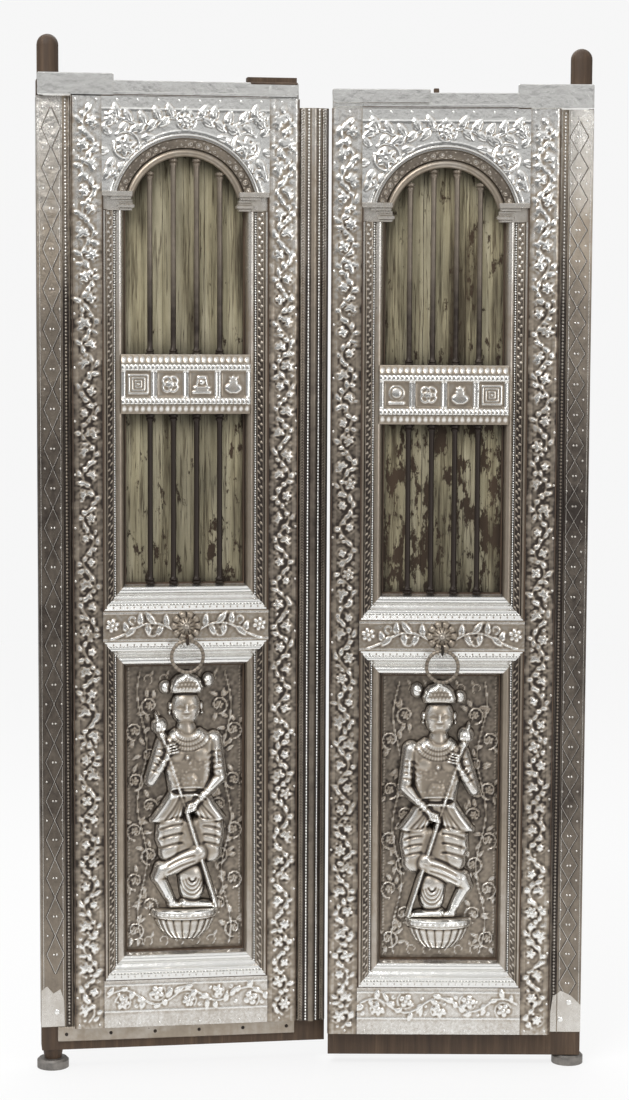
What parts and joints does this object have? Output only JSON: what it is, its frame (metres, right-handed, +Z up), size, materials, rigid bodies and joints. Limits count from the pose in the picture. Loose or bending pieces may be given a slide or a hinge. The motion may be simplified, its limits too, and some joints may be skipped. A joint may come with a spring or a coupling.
{
  "type": "carved temple door",
  "caption": "Pair of silver-clad carved wooden door leaves on pivot pins, with arched barred windows, vine bands, guard figures in relief and pull rings.",
  "frame": {"origin": "on the left pivot axis at floor level, under the left floor socket", "axes": "+X from the left pivot to the right one, +Y away from the viewer, +Z up"},
  "size_m": [1.0444, 0.1415, 1.937],
  "materials": {
    "timber": "old dark hardwood, worn bare",
    "painted_board": "flaking cream and olive paint",
    "silver_sheet": "chased silver sheet, tarnished",
    "silver_clad": "wood covered in chased silver sheet",
    "silver_solid": "worn silver",
    "iron": "dark iron"
  },
  "bodies": {
    "floor_sockets": {"left_pivot_socket": "iron", "right_pivot_socket": "iron"},
    "left_leaf": {"left_pivot_post": "timber", "left_hinge_stile": "timber", "left_meeting_stile": "timber", "left_top_rail": "timber", "left_lock_rail": "timber", "left_bottom_rail": "timber", "left_post_sheet": "silver_sheet", "left_hinge_vine_sheet": "silver_sheet", "left_meeting_vine_sheet": "silver_sheet", "left_head_sheet": "silver_sheet", "left_lock_rail_sheet": "silver_sheet", "left_bottom_rail_sheet": "silver_sheet", "left_head_ledge": "silver_clad", "left_arch_moulding": "silver_clad", "left_window_mouldings": "silver_clad", "left_panel_mouldings": "silver_clad", "left_transom": "silver_clad", "left_upper_bars": "silver_clad", "left_lower_bars": "silver_clad", "left_window_boards": "painted_board", "left_panel_board": "timber", "left_panel_sheet": "silver_sheet", "left_guard_figure": "silver_clad", "left_lotus_pedestal": "silver_clad", "left_boss": "silver_clad", "left_ring_staple": "iron", "left_cover_strip": "silver_clad", "left_foot_strip": "silver_clad"},
    "right_leaf": {"right_pivot_post": "timber", "right_hinge_stile": "timber", "right_meeting_stile": "timber", "right_top_rail": "timber", "right_lock_rail": "timber", "right_bottom_rail": "timber", "right_post_sheet": "silver_sheet", "right_hinge_vine_sheet": "silver_sheet", "right_meeting_vine_sheet": "silver_sheet", "right_head_sheet": "silver_sheet", "right_lock_rail_sheet": "silver_sheet", "right_bottom_rail_sheet": "silver_sheet", "right_head_ledge": "silver_clad", "right_arch_moulding": "silver_clad", "right_window_mouldings": "silver_clad", "right_panel_mouldings": "silver_clad", "right_transom": "silver_clad", "right_upper_bars": "silver_clad", "right_lower_bars": "silver_clad", "right_window_boards": "painted_board", "right_panel_board": "timber", "right_panel_sheet": "silver_sheet", "right_guard_figure": "silver_clad", "right_lotus_pedestal": "silver_clad", "right_boss": "silver_clad", "right_ring_staple": "iron"},
    "left_ring": {"left_pull_ring": "silver_solid"},
    "right_ring": {"right_pull_ring": "silver_solid"}
  },
  "joints": [
    {"name": "left_leaf_swing", "type": "hinge", "parent": "floor_sockets", "child": "left_leaf", "pos_m": [0, 0, 0], "axis": [0, 0, 1], "range_deg": [-6, 84]},
    {"name": "right_leaf_swing", "type": "hinge", "parent": "floor_sockets", "child": "right_leaf", "pos_m": [0.98444, 0, 0], "axis": [0, 0, -1], "range_deg": [-2.5, 87.5]},
    {"name": "left_ring_swing", "type": "hinge", "parent": "left_leaf", "child": "left_ring", "pos_m": [0.2561, -0.04015, 0.8218], "axis": [-0.9945, -0.1045, 0], "range_deg": [-20, 110]},
    {"name": "right_ring_swing", "type": "hinge", "parent": "right_leaf", "child": "right_ring", "pos_m": [0.73127, -0.05571, 0.8038], "axis": [-0.999, 0.0436, 0], "range_deg": [-20, 110]}
  ]
}
